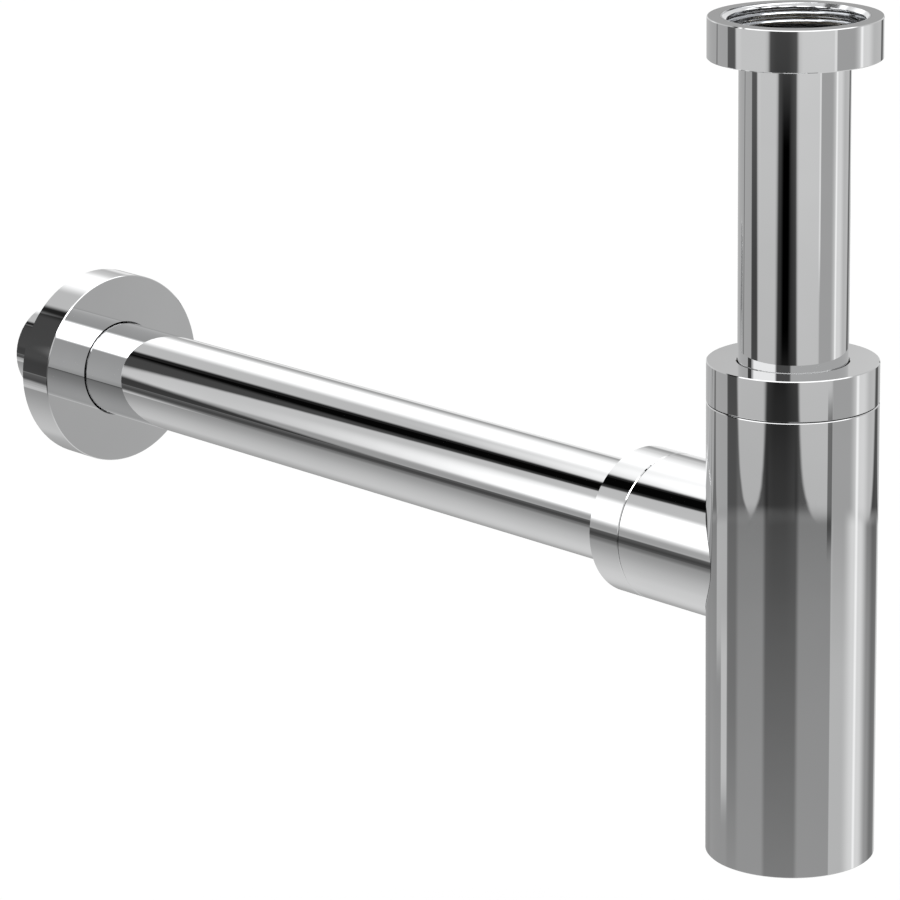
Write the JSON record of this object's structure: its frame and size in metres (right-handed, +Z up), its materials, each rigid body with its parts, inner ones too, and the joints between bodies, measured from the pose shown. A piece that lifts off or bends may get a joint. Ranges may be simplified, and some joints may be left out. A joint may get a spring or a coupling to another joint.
{
  "type": "bottle trap for a wash basin",
  "caption": "Straight round bottle trap with a dip pipe hung from a union nut, a screw cap, a side spigot with a compression nut, a long wall pipe and a sliding wall flange.",
  "frame": {"origin": "centre of the inlet nut's top face, at the mouth of its thread", "axes": "+Z up along the inlet pipe, +Y along the outlet pipe towards the wall, +X to the right when looking at the wall"},
  "size_m": [0.065, 0.38, 0.25],
  "materials": {
    "polished_chrome": "polished chrome plate on brass",
    "white_nylon": "satin, moulded",
    "black_rubber": "matt, moulded"
  },
  "bodies": {
    "inlet_union": {"inlet_nut": "polished_chrome"},
    "inlet_leg": {"inlet_pipe": "polished_chrome", "inlet_washer": "white_nylon", "inlet_gasket": "black_rubber"},
    "bottle": {"bottle_tube": "polished_chrome", "head_ring": "polished_chrome", "outlet_spigot": "polished_chrome", "spigot_ring": "polished_chrome", "base_ring": "polished_chrome", "cap_seal": "black_rubber", "outlet_seal": "black_rubber"},
    "cap_carrier": {"cap_slip_ring": "white_nylon"},
    "cap": {"cap_nut": "polished_chrome"},
    "outlet_carrier": {"outlet_slip_ring": "white_nylon"},
    "outlet_union": {"outlet_nut": "polished_chrome"},
    "plug_carrier": {"plug_gasket": "black_rubber"},
    "plug": {"bottom_plug": "polished_chrome"},
    "outlet_leg": {"outlet_pipe": "polished_chrome"},
    "rosette": {"wall_flange": "polished_chrome", "flange_grip_ring": "black_rubber"}
  },
  "joints": [
    {"name": "inlet_swivel", "type": "hinge", "parent": "inlet_union", "child": "inlet_leg", "pos_m": [0, 0, 0], "axis": [0, 0, 1], "continuous": true},
    {"name": "height_slide", "type": "slide", "parent": "inlet_leg", "child": "bottle", "axis": [0, 0, 1], "range_m": [-0.035, 0.01]},
    {"name": "cap_travel", "type": "slide", "parent": "bottle", "child": "cap_carrier", "axis": [0, 0, 1], "range_m": [0, 0.009]},
    {"name": "cap_turn", "type": "hinge", "parent": "cap_carrier", "child": "cap", "pos_m": [0, 0, -0.106], "axis": [0, 0, 1], "range_deg": [0, 1620]},
    {"name": "outlet_nut_travel", "type": "slide", "parent": "bottle", "child": "outlet_carrier", "axis": [0, 1, 0], "range_m": [0, 0.00924]},
    {"name": "outlet_nut_turn", "type": "hinge", "parent": "outlet_carrier", "child": "outlet_union", "pos_m": [0, 0.0555, -0.161], "axis": [0, 1, 0], "range_deg": [0, 1440]},
    {"name": "plug_travel", "type": "slide", "parent": "bottle", "child": "plug_carrier", "axis": [0, 0, -1], "range_m": [0, 0.0105]},
    {"name": "plug_turn", "type": "hinge", "parent": "plug_carrier", "child": "plug", "pos_m": [0, 0, -0.245], "axis": [0, 0, -1], "range_deg": [0, 2520]},
    {"name": "outlet_slide", "type": "slide", "parent": "bottle", "child": "outlet_leg", "axis": [0, 1, 0], "range_m": [-0.006, 0.015]},
    {"name": "flange_slide", "type": "slide", "parent": "outlet_leg", "child": "rosette", "axis": [0, 1, 0], "range_m": [-0.235, 0.02]}
  ],
  "couplings": [
    {"joint": "cap_travel", "follows": "cap_turn", "m_per_rad": 0.00031831},
    {"joint": "outlet_nut_travel", "follows": "outlet_nut_turn", "m_per_rad": 0.00036749},
    {"joint": "plug_travel", "follows": "plug_turn", "m_per_rad": 0.00023873}
  ]
}
